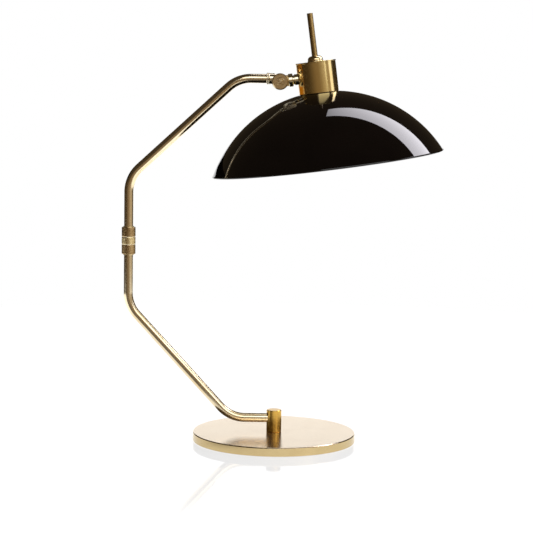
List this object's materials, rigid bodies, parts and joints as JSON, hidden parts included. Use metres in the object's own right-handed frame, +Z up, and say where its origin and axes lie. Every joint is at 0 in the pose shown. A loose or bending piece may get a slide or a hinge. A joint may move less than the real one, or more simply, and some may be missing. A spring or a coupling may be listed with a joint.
{
  "type": "desk lamp",
  "caption": "Dome shade desk lamp: round weighted base, bent brass arm with a knurled swivel, and a dark domed shade that tilts on a clamped knuckle.",
  "frame": {"origin": "centre of the round base, on the table, under the post", "axes": "+Z up; the arm lies in the XZ plane, runs back along -X to the swivel, and the head is above the base, on +X; the cord bush is on +Y"},
  "size_m": [0.35, 0.254, 0.4696],
  "materials": {
    "cover_brass": "satin lacquered, pale",
    "arm_brass": "polished, lacquered",
    "cup_brass": "brushed round, lacquered",
    "pale_brass": "satin, knurled edge",
    "steel": "zinc plated",
    "iron": "as cast",
    "felt": "pressed felt",
    "bush_black": "moulded",
    "nylon": "plain",
    "holder_black": "moulded phenolic",
    "ceramic": "unglazed",
    "contact_brass": "plain",
    "shade_enamel": "gloss black-brown enamel",
    "bulb_metal": "bright",
    "opal_glass": "opal, satin",
    "lead_cover": "plain insulated twin lead"
  },
  "bodies": {
    "stand": {"base_cover": "cover_brass", "base_weight": "iron", "felt_pad": "felt", "cord_bush": "bush_black", "post": "arm_brass", "post_nipple": "steel", "post_washer": "steel", "post_nut": "steel", "lower_tube": "arm_brass", "lower_collar": "arm_brass", "swivel_spindle": "arm_brass", "swivel_washers": "nylon", "spindle_clip": "steel", "lower_lead": "lead_cover"},
    "lock_ring": {"lock_ring": "pale_brass"},
    "upper_arm": {"upper_collar": "arm_brass", "upper_tube": "arm_brass", "tube_ferrule": "arm_brass", "knuckle_fork": "arm_brass", "knuckle_screw": "steel", "friction_washers": "nylon", "knob_washer": "steel", "upper_lead": "lead_cover"},
    "knob": {"clamp_knob": "pale_brass"},
    "head": {"knuckle_eye": "arm_brass", "neck_nut": "steel", "socket_cup": "cup_brass", "nut_washer": "arm_brass", "dome_nut": "arm_brass", "handle_rod": "arm_brass", "cup_nipple": "steel", "holder_cap": "holder_black", "holder_skirt": "holder_black", "holder_insert": "ceramic", "holder_shell": "contact_brass", "centre_contact": "contact_brass", "shade_ring": "holder_black", "shade": "shade_enamel", "bulb_cap": "bulb_metal", "bulb_glass": "opal_glass", "head_lead": "lead_cover"}
  },
  "joints": [
    {"name": "arm_swivel", "type": "hinge", "parent": "stand", "child": "upper_arm", "pos_m": [-0.162, 0, 0.2245], "axis": [0, 0, 1], "range_deg": [-90, 90]},
    {"name": "lock_ring_turn", "type": "hinge", "parent": "stand", "child": "lock_ring", "pos_m": [-0.162, 0, 0.2205], "axis": [0, 0, 1], "range_deg": [0, 120]},
    {"name": "shade_tilt", "type": "hinge", "parent": "upper_arm", "child": "head", "pos_m": [0.0015, 0, 0.3953], "axis": [0, 1, 0], "range_deg": [-55, 20]},
    {"name": "clamp_knob_turn", "type": "hinge", "parent": "upper_arm", "child": "knob", "pos_m": [0.0015, -0.0095, 0.3953], "axis": [0, 1, 0], "range_deg": [-180, 0]}
  ]
}
